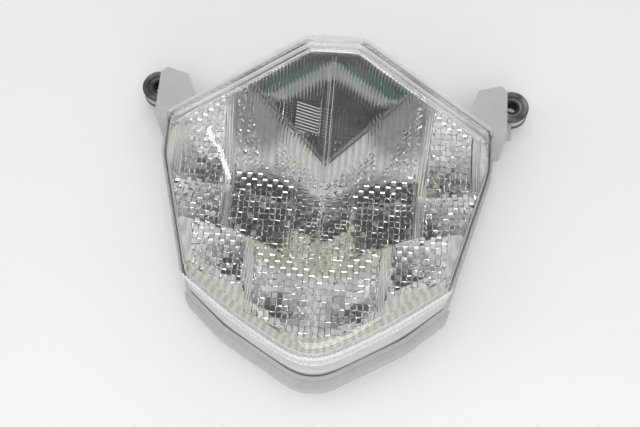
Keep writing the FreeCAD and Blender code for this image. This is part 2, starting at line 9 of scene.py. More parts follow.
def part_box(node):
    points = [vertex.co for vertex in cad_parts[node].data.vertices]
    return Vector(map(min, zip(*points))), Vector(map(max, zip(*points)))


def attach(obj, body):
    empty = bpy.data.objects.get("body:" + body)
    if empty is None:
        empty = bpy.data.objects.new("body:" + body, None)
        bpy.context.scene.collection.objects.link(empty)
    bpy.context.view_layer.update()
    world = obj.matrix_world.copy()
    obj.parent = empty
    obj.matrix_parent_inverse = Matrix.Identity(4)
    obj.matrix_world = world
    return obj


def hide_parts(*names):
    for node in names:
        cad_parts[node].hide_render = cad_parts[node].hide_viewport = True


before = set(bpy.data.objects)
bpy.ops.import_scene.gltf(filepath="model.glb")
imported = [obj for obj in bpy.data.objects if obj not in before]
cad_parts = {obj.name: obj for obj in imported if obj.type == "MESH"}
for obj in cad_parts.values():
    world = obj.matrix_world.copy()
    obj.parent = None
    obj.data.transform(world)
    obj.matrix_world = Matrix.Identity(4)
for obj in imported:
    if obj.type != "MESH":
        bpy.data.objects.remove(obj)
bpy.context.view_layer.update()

# Motorcycle tail light, lying on its back.  Metres; +Z is the way the lens faces, +Y the
# top of the lamp, +X right as seen from the lens side.

MM = 0.001
LENS_LOW, LENS_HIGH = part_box("lens")
HALF = LENS_HIGH.x
TOP = LENS_HIGH.y
TIP = -LENS_LOW.y
FOOT = LENS_LOW.z
FACE = LENS_HIGH.z
WALL = 2.4 * MM
RING_COUNT = 900          # points round the lens


# ---------------------------------------------------------------- mesh helpers

def piece(name, points, faces, material, stands_for=()):
    """A new mesh piece that rides on the lamp's one body."""
    mesh = bpy.data.meshes.new(name)
    mesh.from_pydata([tuple(point) for point in points], [], faces)
    mesh.validate()
    mesh.update()
    obj = bpy.data.objects.new(name, mesh)
    bpy.context.scene.collection.objects.link(obj)
    mesh.materials.append(material)
    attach(obj, "root")
    if stands_for:
        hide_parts(*stands_for)
    return obj


def shade_by_angle(obj, degrees):
    """Smooth shading that keeps edges sharper than the angle."""
    mesh = obj.data
    for face in mesh.polygons:
        face.use_smooth = True
    work = bmesh.new()
    work.from_mesh(mesh)
    for edge in work.edges:
        edge.smooth = len(edge.link_faces) == 2 and edge.calc_face_angle(0) < math.radians(degrees)
    work.to_mesh(mesh)
    work.free()


def weld(obj, distance):
    """Joins points that touch, drops loose ones and turns every face outwards."""
    work = bmesh.new()
    work.from_mesh(obj.data)
    if distance:
        bmesh.ops.remove_doubles(work, verts=work.verts, dist=distance)
        loose = [vert for vert in work.verts if not vert.link_faces]
        bmesh.ops.delete(work, geom=loose, context="VERTS")
    bmesh.ops.recalc_face_normals(work, faces=work.faces)
    work.to_mesh(obj.data)
    work.free()


def soften(obj, width):
    """A small bevel on the piece's edges."""
    bevel = obj.modifiers.new("edge_round", "BEVEL")
    bevel.width = width
    bevel.segments = 2
    bevel.limit_method = "ANGLE"
    bevel.angle_limit = math.radians(35)
    bevel.harden_normals = True


def between(low, high, share):
    return low + (high - low) * share


def all_round(count):
    """Evenly spaced directions round a circle."""
    return [2 * math.pi * index / count for index in range(count)]


def circle(centre, radius, height, turns):
    """Points round an upright axis through the centre, a height above it."""
    return [centre + Vector((radius * math.cos(turn), radius * math.sin(turn), height))
            for turn in turns]


def anticlockwise(points):
    area = sum(a.x * b.y - a.y * b.x for a, b in zip(points, points[1:] + points[:1]))
    return points if area > 0 else points[::-1]


def islands(node):
    """The boxes of the separate solids in a CAD node, lowest and highest corners."""
    work = bmesh.new()
    work.from_mesh(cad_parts[node].data)
    bmesh.ops.remove_doubles(work, verts=work.verts, dist=1e-6)
    seen = set()
    found = []
    for start in work.verts:
        if start in seen:
            continue
        seen.add(start)
        stack = [start]
        group = []
        while stack:
            vert = stack.pop()
            group.append(vert.co.copy())
            for edge in vert.link_edges:
                other = edge.other_vert(vert)
                if other not in seen:
                    seen.add(other)
                    stack.append(other)
        low = Vector(min(point[axis] for point in group) for axis in range(3))
        high = Vector(max(point[axis] for point in group) for axis in range(3))
        found.append((low, high))
    work.free()
    return sorted(found, key=lambda pair: tuple(pair[0]))


class Parts:
    """Collects the vertices and faces of one piece, with a material index for each face."""

    def __init__(self):
        self.points = []
        self.faces = []
        self.looks = []

    def add(self, points, faces, look=0):
        start = len(self.points)
        self.points += [Vector(point) for point in points]
        self.faces += [tuple(start + index for index in face) for face in faces]
        self.looks += [look] * len(faces)

    def rings(self, rings, look=0, caps=False):
        """Quads between closed rings with the same number of points."""
        count = len(rings[0])
        points = [point for ring in rings for point in ring]
        faces = []
        for level in range(len(rings) - 1):
            for index in range(count):
                after = (index + 1) % count
                faces.append((level * count + index, level * count + after,
                              (level + 1) * count + after, (level + 1) * count + index))
        if caps:
            faces.append(tuple(range(count))[::-1])
            faces.append(tuple((len(rings) - 1) * count + index for index in range(count)))
        self.add(points, faces, look)

    def block(self, low, high, chamfer, look=0):
        """A box with chamfered upright and top edges."""
        levels = ((low.z, 0), (high.z - chamfer, 0), (high.z, chamfer))
        self.rings([chamfered(low, high, z, inset, chamfer) for z, inset in levels], look, caps=True)

    def turned(self, profile, centre, count, look=0):
        """A lathe shape round an upright axis, from pairs of radius and height."""
        rings = [circle(centre, radius, height, all_round(count)) for radius, height in profile]
        self.rings(rings, look, caps=True)

    def build(self, name, materials, stands_for, weld_within=0.0, sharp_from=30):
        """The collected faces as a piece, shaded smooth below an angle in degrees."""
        obj = piece(name, self.points, self.faces, materials[0], stands_for)
        for material in materials[1:]:
            obj.data.materials.append(material)
        for face, look in zip(obj.data.polygons, self.looks):
            face.material_index = look
        weld(obj, weld_within)
        shade_by_angle(obj, sharp_from)
        return obj


def chamfered(low, high, z, inset, chamfer):
    """The eight corners of a rectangle with cut corners."""
    x0, x1, y0, y1 = low.x + inset, high.x - inset, low.y + inset, high.y - inset
    c = chamfer
    return [Vector(p) for p in ((x0 + c, y0, z), (x1 - c, y0, z), (x1, y0 + c, z), (x1, y1 - c, z),
                                (x1 - c, y1, z), (x0 + c, y1, z), (x0, y1 - c, z), (x0, y0 + c, z))]


# ---------------------------------------------------------------- shader helpers

def group_of_nodes(name, inputs, outputs):
    """An empty shader node group with named inputs (with their defaults) and outputs."""
    tree = bpy.data.node_groups.new(name, "ShaderNodeTree")
    kinds = {float: "NodeSocketFloat", tuple: "NodeSocketColor"}
    for word, value in inputs.items():
        socket = tree.interface.new_socket(word, in_out="INPUT", socket_type=kinds[type(value)])
        socket.default_value = value
    for word, kind in outputs.items():
        tree.interface.new_socket(word, in_out="OUTPUT", socket_type="NodeSocket" + kind)
    return tree, tree.nodes.new("NodeGroupInput"), tree.nodes.new("NodeGroupOutput")


def feed(tree, made, sources):
    """Gives a node's inputs a socket or a plain value each."""
    for word, source in sources.items():
        if isinstance(source, bpy.types.NodeSocket):
            tree.links.new(source, made.inputs[word])
        else:
            made.inputs[word].default_value = source


def node(tree, kind, sources=None, **settings):
    """A node with its settings and what feeds its inputs."""
    made = tree.nodes.new(kind)
    for word, value in settings.items():
        setattr(made, word, value)
    feed(tree, made, sources or {})
    return made


def object_place(tree):
    return node(tree, "ShaderNodeTexCoord").outputs["Object"]


def ramp(tree, source, stops):
    """A colour ramp from pairs of place and grey value or colour."""
    made = node(tree, "ShaderNodeValToRGB", {"Fac": source})
    elements = made.color_ramp.elements
    while len(elements) < len(stops):
        elements.new(0.5)
    for element, (place, value) in zip(elements, stops):
        element.position = place
        element.color = value if isinstance(value, tuple) else (value, value, value, 1)
    return made.outputs["Color"]


def mix(tree, share, first, second, blend="MIX"):
    """A mix of two colours; the node lists its share and colours at sockets 0, 6 and 7."""
    made = node(tree, "ShaderNodeMix", data_type="RGBA", blend_type=blend)
    feed(tree, made, {0: share, 6: first, 7: second})
    return made.outputs[2]


def maths(tree, operation, first, second=0.0, clamp=False):
    made = node(tree, "ShaderNodeMath", {0: first, 1: second}, operation=operation, use_clamp=clamp)
    return made.outputs[0]


def make_moulded_grain():
    """Fine moulded texture: a normal and a roughness that wanders about a middle value."""
    tree, given, out = group_of_nodes(
        "moulded_grain", {"Scale": 1500.0, "Depth": 0.2, "Roughness": 0.4, "Wander": 0.15},
        {"Normal": "Vector", "Roughness": "Float"})
    place = object_place(tree)
    fine = node(tree, "ShaderNodeTexNoise", {"Vector": place, "Scale": given.outputs["Scale"],
                                             "Detail": 4.0})
    broad = node(tree, "ShaderNodeTexNoise", {"Vector": place, "Scale": 60.0, "Detail": 3.0})
    bump = node(tree, "ShaderNodeBump", {"Strength": given.outputs["Depth"],
                                         "Distance": 0.2 * MM, "Height": fine.outputs["Fac"]})
    swing = maths(tree, "MULTIPLY", maths(tree, "SUBTRACT", broad.outputs["Fac"], 0.5),
                  given.outputs["Wander"])
    rough = maths(tree, "ADD", swing, given.outputs["Roughness"], clamp=True)
    tree.links.new(bump.outputs["Normal"], out.inputs["Normal"])
    tree.links.new(rough, out.inputs["Roughness"])
    return tree


def make_edge_wear():
    """Rubbed, paler edges."""
    tree, given, out = group_of_nodes(
        "edge_wear", {"Color": (0.5, 0.5, 0.5, 1.0), "Edge Color": (0.8, 0.8, 0.8, 1.0),
                      "Amount": 0.5}, {"Color": "Color"})
    sharp = node(tree, "ShaderNodeNewGeometry").outputs["Pointiness"]
    edge = ramp(tree, sharp, ((0.5, 0.0), (0.58, 1.0)))
    breakup = node(tree, "ShaderNodeTexNoise", {"Vector": object_place(tree), "Scale": 350.0,
                                                "Detail": 5.0})
    mask = maths(tree, "MULTIPLY", maths(tree, "MULTIPLY", edge, breakup.outputs["Fac"]),
                 given.outputs["Amount"], clamp=True)
    tree.links.new(mix(tree, mask, given.outputs["Color"], given.outputs["Edge Color"]),
                   out.inputs["Color"])
    return tree


def make_settled_dust():
    """Dust on surfaces that face up, in soft patches."""
    tree, given, out = group_of_nodes(
        "settled_dust", {"Color": (0.5, 0.5, 0.5, 1.0), "Dust Color": (0.6, 0.58, 0.54, 1.0),
                         "Amount": 0.3, "Scale": 90.0}, {"Color": "Color"})
    up = node(tree, "ShaderNodeSeparateXYZ",
              {0: node(tree, "ShaderNodeNewGeometry").outputs["Normal"]}).outputs["Z"]
    patches = node(tree, "ShaderNodeTexNoise", {"Vector": object_place(tree),
                                                "Scale": given.outputs["Scale"], "Detail": 6.0})
    spread = ramp(tree, patches.outputs["Fac"], ((0.38, 0.0), (0.68, 1.0)))
    mask = maths(tree, "MULTIPLY", maths(tree, "MULTIPLY", maths(tree, "MAXIMUM", up, 0.0), spread),
                 given.outputs["Amount"], clamp=True)
    tree.links.new(mix(tree, mask, given.outputs["Color"], given.outputs["Dust Color"]),
                   out.inputs["Color"])
    return tree


GRAIN = make_moulded_grain()
WEAR = make_edge_wear()
DUST = make_settled_dust()


def placed(tree, group, **values):
    """One of the groups above in a material, with its own values."""
    made = node(tree, "ShaderNodeGroup", node_tree=group)
    feed(tree, made, {word.replace("_", " "): source for word, source in values.items()})
    return made


def link_finish(tree, shader, color, grain):
    tree.links.new(color, shader.inputs["Base Color"])
    tree.links.new(grain.outputs["Roughness"], shader.inputs["Roughness"])
    tree.links.new(grain.outputs["Normal"], shader.inputs["Normal"])


def new_material(name):
    material = bpy.data.materials.new(name)
    material.use_nodes = True
    tree = material.node_tree
    return material, tree, tree.nodes["Principled BSDF"], tree.nodes["Material Output"]


def set_shader(shader, **values):
    for word, value in values.items():
        shader.inputs[word.replace("_", " ")].default_value = value


def grey(value, warm=0.0):
    return (value + warm, value, value - warm, 1.0)


def darker(color, share):
    return tuple(share * value for value in color[:3]) + (1.0,)


def plain_plastic(name, color, edge_color, roughness, grain_scale=1500.0, grain_depth=0.15,
                  wear=0.4, dust=0.25, **shader_values):
    """A moulded finish: grain, rubbed edges and a little dust."""
    material, tree, shader, _ = new_material(name)
    worn = placed(tree, WEAR, Color=color, Edge_Color=edge_color, Amount=wear)
    dusty = placed(tree, DUST, Color=worn.outputs["Color"], Amount=dust)
    grain = placed(tree, GRAIN, Scale=grain_scale, Depth=grain_depth, Roughness=roughness)
    link_finish(tree, shader, dusty.outputs["Color"], grain)
    set_shader(shader, **shader_values)
    return material


def clear_plastic(name, color, roughness, index, wander=0.03, depth=0.03, clearness=1.0):
    """Clear moulded plastic that lets lamp light through to what is behind it."""
    material, tree, shader, output = new_material(name)
    grain = placed(tree, GRAIN, Scale=220.0, Depth=depth, Roughness=roughness, Wander=wander)
    haze = node(tree, "ShaderNodeTexNoise", {"Vector": object_place(tree), "Scale": 45.0,
                                             "Detail": 4.0})
    faded = darker(color, 0.93)
    link_finish(tree, shader, mix(tree, haze.outputs["Fac"], color, faded), grain)
    set_shader(shader, Transmission_Weight=clearness, IOR=index)
    through = node(tree, "ShaderNodeBsdfTransparent", {"Color": color})
    rays = node(tree, "ShaderNodeLightPath")
    both = node(tree, "ShaderNodeMixShader", {0: rays.outputs["Is Shadow Ray"],
                                              1: shader.outputs[0], 2: through.outputs[0]})
    tree.links.new(both.outputs[0], output.inputs["Surface"])
    return material


# ---------------------------------------------------------------- materials

clear_lens = clear_plastic("clear_lens", (0.99, 0.99, 0.985, 1.0), 0.03, 1.58)
frosted_wall = clear_plastic("frosted_wall", (0.95, 0.955, 0.945, 1.0), 0.3, 1.58, wander=0.1,
                             clearness=0.55)
hazy_wall = clear_plastic("hazy_wall", (0.86, 0.86, 0.84, 1.0), 0.14, 1.58, wander=0.1,
                          clearness=0.4)
clear_guide = clear_plastic("clear_guide", (0.42, 0.46, 0.43, 1.0), 0.35, 1.49, depth=0.1,
                            clearness=0.6)
housing_plastic = plain_plastic("housing_plastic", grey(0.42, 0.008), grey(0.58), 0.42,
                                grain_scale=2200.0, Subsurface_Weight=0.15,
                                Subsurface_Scale=0.002)
dark_plastic = plain_plastic("dark_plastic", grey(0.03), grey(0.12), 0.5)
bezel_plastic = plain_plastic("bezel_plastic", grey(0.06), grey(0.2), 0.4)
bush_rubber = plain_plastic("bush_rubber", grey(0.045), grey(0.10), 0.62, grain_scale=900.0,
                            grain_depth=0.4, dust=0.5)
seal_rubber = plain_plastic("seal_rubber", grey(0.45), grey(0.5), 0.8, grain_depth=0.5)
led_white = plain_plastic("led_white", grey(0.8), grey(0.9), 0.4, dust=0.0)
chip_black = plain_plastic("chip_black", grey(0.025), grey(0.1), 0.4, dust=0.1)
membrane_white = plain_plastic("membrane_white", grey(0.8), grey(0.9), 0.8, grain_scale=2600.0,
                               grain_depth=0.6)


def make_bright_metal(name, color, roughness):
    """Bare or plated metal with faint drawn streaks."""
    material, tree, shader, _ = new_material(name)
    place = node(tree, "ShaderNodeMapping", {"Vector": object_place(tree),
                                             "Scale": (4000.0, 300.0, 300.0)}).outputs[0]
    lines = node(tree, "ShaderNodeTexNoise", {"Vector": place, "Scale": 1.0, "Detail": 3.0})
    edge = tuple(min(1.0, 1.4 * value) for value in color)
    worn = placed(tree, WEAR, Color=color, Edge_Color=edge, Amount=0.5)
    rough = maths(tree, "MULTIPLY_ADD", lines.outputs["Fac"], 0.1)
    rough.node.inputs[2].default_value = roughness
    tree.links.new(worn.outputs["Color"], shader.inputs["Base Color"])
    tree.links.new(rough, shader.inputs["Roughness"])
    set_shader(shader, Metallic=1.0)
    return material


FIN_COUNT = 10
FIN_THICK = 1.0 * MM


def make_fin_metal():
    """Fins painted dark with a bright strip in each pitch: painted shade, and a painted highlight
    where the fin tops catch light.
    """
    material, tree, shader, _ = new_material("sink_metal")
    low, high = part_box("heat_sink")
    pitch = (high.y - low.y - FIN_THICK) / (FIN_COUNT - 1)
    along = node(tree, "ShaderNodeSeparateXYZ", {0: object_place(tree)}).outputs["Y"]
    turn = maths(tree, "FRACT", maths(tree, "DIVIDE", maths(tree, "SUBTRACT", along, low.y), pitch))
    # Painted highlight strip across each fin; the rest of each pitch gets the painted shade colour.
    fin_highlight = ramp(tree, turn, ((0.08, 0.0), (0.14, 1.0), (0.42, 1.0), (0.48, 0.0)))
    color = mix(tree, fin_highlight, grey(0.10), grey(0.95))
    grain = placed(tree, GRAIN, Scale=1500.0, Depth=0.1, Roughness=0.35)
    link_finish(tree, shader, color, grain)
    set_shader(shader, Metallic=0.2)
    return material


sink_metal = make_fin_metal()
screw_metal = make_bright_metal("screw_metal", grey(0.6), 0.25)
# Near-black metal for the sleeves: painted shade standing in for the dark bores of the bushes.
sleeve_painted_shade = make_bright_metal("sleeve_painted_shade", grey(0.05), 0.55)
tin_metal = make_bright_metal("tin_metal", (0.75, 0.74, 0.70, 1.0), 0.3)


def make_board_resist(name, color, track_color):
    """Solder resist over tracks that run in steps beneath it."""
    material, tree, shader, _ = new_material(name)
    place = object_place(tree)
    tracks = node(tree, "ShaderNodeTexBrick", {
        "Vector": place, "Scale": 260.0, "Mortar Size": 0.06, "Mortar Smooth": 0.2,
        "Color1": color, "Color2": darker(color, 0.85),
        "Mortar": track_color})
    dusty = placed(tree, DUST, Color=tracks.outputs["Color"], Amount=0.15)
    grain = placed(tree, GRAIN, Scale=1800.0, Depth=0.08, Roughness=0.28)
    link_finish(tree, shader, dusty.outputs["Color"], grain)
    return material


board_green = make_board_resist("board_green", (0.006, 0.075, 0.045, 1.0),
                                (0.015, 0.14, 0.085, 1.0))
# The main board's resist is near black: painted shade for the deep chamber it sits in.
board_painted_shade = make_board_resist("board_painted_shade", (0.010, 0.016, 0.014, 1.0),
                               (0.015, 0.03, 0.022, 1.0))


RIB_PITCH = 1.7 * MM
WAVE_TURN = 6.28          # the wave texture counts its bands in radians
# Patches of the reflector, on both sides: centre and half size in metres, colour. The first two,
# near black, are painted shade; the third is the beige of the yellowed middle; the fourth is a
# cream.
PATCHES = (
    ((0.030, -0.003), (0.024, 0.022), (0.05, 0.05, 0.048, 1.0)),
    ((0.036, 0.046), (0.019, 0.028), (0.09, 0.095, 0.09, 1.0)),
    ((0.0, -0.026), (0.042, 0.019), (0.33, 0.29, 0.21, 1.0)),
    ((0.060, 0.006), (0.016, 0.009), (0.60, 0.59, 0.50, 1.0)))


def patch(tree, place, centre, half):
    """A mask that is 1 in the middle of an oval on both sides of the lamp and 0 outside it."""
    parts = node(tree, "ShaderNodeSeparateXYZ", {0: place})
    either = maths(tree, "ABSOLUTE", parts.outputs["X"])
    flat = node(tree, "ShaderNodeCombineXYZ", {"X": either, "Y": parts.outputs["Y"]}).outputs[0]
    moved = node(tree, "ShaderNodeMapping", {
        "Vector": flat, "Location": (-centre[0] / half[0], -centre[1] / half[1], 0.0),
        "Scale": (1 / half[0], 1 / half[1], 0.0)}).outputs[0]
    ball = node(tree, "ShaderNodeTexGradient", {"Vector": moved}, gradient_type="SPHERICAL")
    return ramp(tree, ball.outputs["Fac"], ((0.0, 0.0), (0.35, 1.0)))


def make_reflector_finish(name, pale, roughness, metal, painted_rib_shade=False):
    """The reflector's finish: patches of colour, two of them painted shade, and painted shade deep
    in the bowls; optionally stripes of painted shade for ribs.
    """
    material, tree, shader, _ = new_material(name)
    place = object_place(tree)
    cloudy = node(tree, "ShaderNodeTexNoise", {"Vector": place, "Scale": 60.0, "Detail": 3.0})
    color = mix(tree, cloudy.outputs["Fac"], darker(pale, 0.85), pale)
    # Each patch's colour is laid over the finish; the near-black ones are painted shade.
    for centre, half, patch_color in PATCHES:
        color = mix(tree, patch(tree, place, centre, half), color, patch_color)
    if painted_rib_shade:
        # Stripes of painted shade across X, standing in for fine ribs the deck doesn't have.
        rib_shade_bands = node(tree, "ShaderNodeTexWave",
                    {"Vector": place, "Scale": 1 / (RIB_PITCH * WAVE_TURN)},
                    wave_type="BANDS", bands_direction="X")
        color = mix(tree, 1.0, color, ramp(tree, rib_shade_bands.outputs["Fac"], ((0.2, 0.62), (0.8, 1.0))),
                    "MULTIPLY")
    # Painted shade deep in the bowls: the colour darkens below about 33 mm up.
    height = node(tree, "ShaderNodeSeparateXYZ", {0: place}).outputs["Z"]
    deep = ramp(tree, maths(tree, "MULTIPLY", height, 25.0), ((0.45, 0.12), (0.82, 1.0)))
    color = mix(tree, 1.0, color, deep, "MULTIPLY")
    worn = placed(tree, WEAR, Color=color, Edge_Color=grey(0.9), Amount=0.3)
    grain = placed(tree, GRAIN, Scale=700.0, Depth=0.05, Roughness=roughness, Wander=0.1)
    link_finish(tree, shader, worn.outputs["Color"], grain)
    set_shader(shader, Metallic=metal)
    return material


reflector_coat = make_reflector_finish("reflector_coat", grey(0.80), 0.25, 0.5)
reflector_deck = make_reflector_finish("reflector_deck", (0.50, 0.49, 0.44, 1.0), 0.45, 0.0,
                                       painted_rib_shade=True)


# ---------------------------------------------------------------- the lens's outline

# Corners of the right half as shares of the half width and of the height above or below
# the lamp's middle; the last straight side runs on to a round tip.
FOOT_CORNERS = ((0.183, 1.0), (0.99, 0.46), (1.0, 0.24), (0.775, -0.512), (0.533, -0.703))
FRONT_CORNERS = ((0.183, 1.0), (0.996, 0.453), (0.998, 0.2), (0.781, -0.508), (0.49, -0.712))
TIP_RADIUS = 24 * MM
FRONT_TIP_STEP = 1.6 * MM
TIP_SIDES = 5             # tangents that make up half of the round tip
SHARPNESS = 130           # how tightly the outline's corners are rounded
RIM, SIDE, LOW = range(3)  # the outline's stretches: top and diagonals, sides, lower end


def side_between(first, second, stretch):
    """A straight side as its outward direction, its distance from the middle and its stretch."""
    along = second - first
    out = Vector((-along.y, along.x)).normalized()
    if out.dot(first) < 0:
        out = -out
    return out, out.dot(first), stretch


def sides_of(corners, tip):
    points = [Vector((x * HALF, y * TOP)) for x, y in corners]
    right = [side_between(points[0], points[1], RIM), side_between(points[1], points[2], SIDE),
             side_between(points[2], points[3], SIDE), side_between(points[3], points[4], LOW)]
    centre = Vector((0, TIP_RADIUS - tip))
    reach = points[4] - centre
    tangent = math.atan2(reach.y, reach.x) - math.acos(TIP_RADIUS / reach.length)
    for step in range(TIP_SIDES):
        turn = between(tangent, -math.pi / 2, step / TIP_SIDES)
        out = Vector((math.cos(turn), math.sin(turn)))
        right.append((out, TIP_RADIUS + out.dot(centre), LOW))
    left = [(Vector((-out.x, out.y)), distance, stretch) for out, distance, stretch in right]
    return right + left + [(Vector((0, 1)), TOP, RIM), (Vector((0, -1)), tip, LOW)]


FOOT_SIDES = sides_of(FOOT_CORNERS, TIP)
FRONT_SIDES = sides_of(FRONT_CORNERS, TIP - FRONT_TIP_STEP)


def reach_at(turn, sides, insets):
    """The outline's point in a direction, each stretch moved in by its own inset, and how
    much each stretch has to do with it."""
    ray = Vector((math.cos(turn), math.sin(turn)))
    shares = [0.0, 0.0, 0.0]
    for out, distance, stretch in sides:
        lean = out.dot(ray) / (distance - insets[stretch])
        if lean > 0:
            shares[stretch] += lean ** SHARPNESS
    total = sum(shares)
    return ray * total ** (-1 / SHARPNESS), [share / total for share in shares]


TURNS = all_round(RING_COUNT)


def ring(heights, rise, insets, ripple=None):
    """A closed ring of points; rise 0 is the foot's outline and 1 the front's.  Heights and
    insets are one for each stretch, or one height for all."""
    if isinstance(heights, float):
        heights = (heights, heights, heights)
    points = []
    for index, turn in enumerate(TURNS):
        foot, shares = reach_at(turn, FOOT_SIDES, insets)
        front, _ = reach_at(turn, FRONT_SIDES, insets)
        flat = foot.lerp(front, rise)
        if ripple:
            flat = flat * (1 + ripple(index, flat) / flat.length)
        height = sum(share * level for share, level in zip(shares, heights))
        points.append(Vector((flat.x, flat.y, height)))
    return points


# ---------------------------------------------------------------- the lens's optics

INNER = FACE - WALL                 # level of the lens's inner face
PILLOW, FLUTE = range(2)

# Fields of the right half: name, corners in millimetres, pattern, pitch across and along,
# depth, turn in degrees, and how far the whole field is sunk.
FIELDS = (
    ("shield", ((2.0, 79.6), (14.6, 79.6), (43.6, 61.2), (43.3, 51), (38.8, 40), (24.5, 28.2),
                (2.0, 7)), FLUTE, 1.7, 0, 0.38, 0, 0.0),
    ("diagonal_top", ((44.4, 61.2), (49.2, 57.9), (45.6, 14.4), (43.5, 14.0), (43.8, 50)),
     PILLOW, 2.1, 2.1, 0.7, 45, 0.4),
    ("diagonal_mid", ((42.9, 49.2), (42.9, 13.8), (27, 9.4), (25.2, 27.8), (39.2, 39.4)),
     PILLOW, 2.1, 2.1, 0.7, 45, 0.4),
    ("diagonal_low", ((24.6, 27.3), (26.4, 9.3), (15, 6), (0.3, 0.2), (0.3, 5.6), (12.6, 15.8)),
     PILLOW, 2.1, 2.1, 0.7, 45, 0.4),
    ("wing", ((54.6, 53.2), (73.4, 38.8), (73.4, 6.2), (51.4, 2.9)), PILLOW, 2.7, 3.1, 0.8, 0, 0.6),
    ("wing_bar", ((49.8, 56.8), (54.0, 53.6), (50.8, 2.6), (46.2, 1.6)),
     FLUTE, 1.3, 0, 0.25, -4, 0.0),
    ("edge_bar", ((74, 38.2), (78.2, 35.2), (77.6, 6.8), (74, 6.3)), FLUTE, 1.2, 0, 0.25, 0, 0.0),
    ("wing_low", ((51, 2.2), (76.9, 6.1), (72, -13.4), (51, -19.4)), PILLOW, 2.7, 2.9, 0.9, 6, 0.6),
    ("mid_bar", ((45.6, 13.3), (50.5, 1.6), (50.5, -19.6), (45.6, -21.2)),
     FLUTE, 1.3, 0, 0.4, 0, 0.0),
    ("middle", ((45, 13.2), (14.8, 5.4), (14.8, -34.2), (36, -24.8), (45, -21.4)),
     PILLOW, 2.7, 3.1, 0.8, 0, 0.8),
    ("column", ((0.2, -0.6), (14.3, 5.0), (14.3, -34.4), (0.2, -40.4)),
     PILLOW, 2.9, 2.1, 0.7, 0, 0.6),
    ("low_outer", ((36.8, -24.9), (64.4, -15.6), (61.6, -41.6), (34.6, -52.9)),
     PILLOW, 2.7, 3.0, 0.8, 0, 0.6),
    ("low_bar", ((31.4, -27.3), (36.3, -25.2), (33.9, -53.8), (33.2, -63.4), (29.4, -65)),
     FLUTE, 1.2, 0, 0.22, 3, 0.0),
    ("low_inner", ((0.4, -41), (31, -27.6), (28.9, -64.8), (14, -71.3), (0.4, -75.2)),
     PILLOW, 2.9, 3.2, 0.8, 0, 0.6),
)
RIDGE = ("ridge", ((0, 79.6), (1.9, 79.6), (1.9, 6.8), (0, 5.8)), FLUTE, 0.95, 0, 0.3, 0, 0.0)
FLUTE_STEPS = 4
END_WALL = 0.3 * MM                 # width of the slope where flutes end
CHECK_ROWS = 9.5 * MM               # stretch at the top of a field where cells tilt in turn
CELL_SPOTS = ((0.12, 0.12), (0.88, 0.12), (0.12, 0.88), (0.88, 0.88))
CELL_EDGE = 0.05                    # share of a cell that stays level beside its walls
CHECK_TILT = 1.5                    # how far the faces of cells tilt, in shares of the depth
CELL_TILT = 1.0
SPAN = 110 * MM                     # from a field's middle to well past its corners
PAST_TOP = 200 * MM                 # from any point of a field to past its upper edge
FIELD_REACH = 60 * MM               # from a field's middle to past its furthest corner
SPOT_CLEARANCE = 0.15 * MM
OPTIC_DEPTH = 3 * MM                # deeper than any optic is moulded
LENS_CREASE = 0.5                   # angle from which an edge of the lens stays sharp


def clip_line(start, end, corners):
    """The stretch of a segment inside a convex outline given anticlockwise, or None."""
    first, last = 0.0, 1.0
    along = end - start
    for corner, following in zip(corners, corners[1:] + corners[:1]):
        side = following - corner
        inward = Vector((-side.y, side.x))
        at_start = inward.dot(start - corner)
        slope = inward.dot(along)
        if abs(slope) < 1e-15:
            if at_start < 0:
                return None
            continue
        cross = -at_start / slope
        if slope > 0:
            first = max(first, cross)
        else:
            last = min(last, cross)
    if last - first < 1e-6:
        return None
    return start + along * first, start + along * last


def depth_inside(point, corners):
    """How far a point is inside a convex outline; negative outside."""
    least = 1.0
    for corner, following in zip(corners, corners[1:] + corners[:1]):
        side = following - corner
        inward = Vector((-side.y, side.x)).normalized()
        least = min(least, inward.dot(point - corner))
    return least


def shrunk(corners, amount):
    """A convex outline, given anticlockwise, moved inwards."""
    lines = []
    for corner, following in zip(corners, corners[1:] + corners[:1]):
        side = following - corner
        inward = Vector((-side.y, side.x)).normalized()
        lines.append((inward, inward.dot(corner) + amount))
    moved = []
    for (first, low), (second, high) in zip(lines[-1:] + lines[:-1], lines):
        across = first.x * second.y - first.y * second.x
        moved.append(Vector(((low * second.y - high * first.y) / across,
                             (first.x * high - second.x * low) / across)))
    return moved


def loop_edges(corners):
    return list(zip(corners, corners[1:] + corners[:1]))


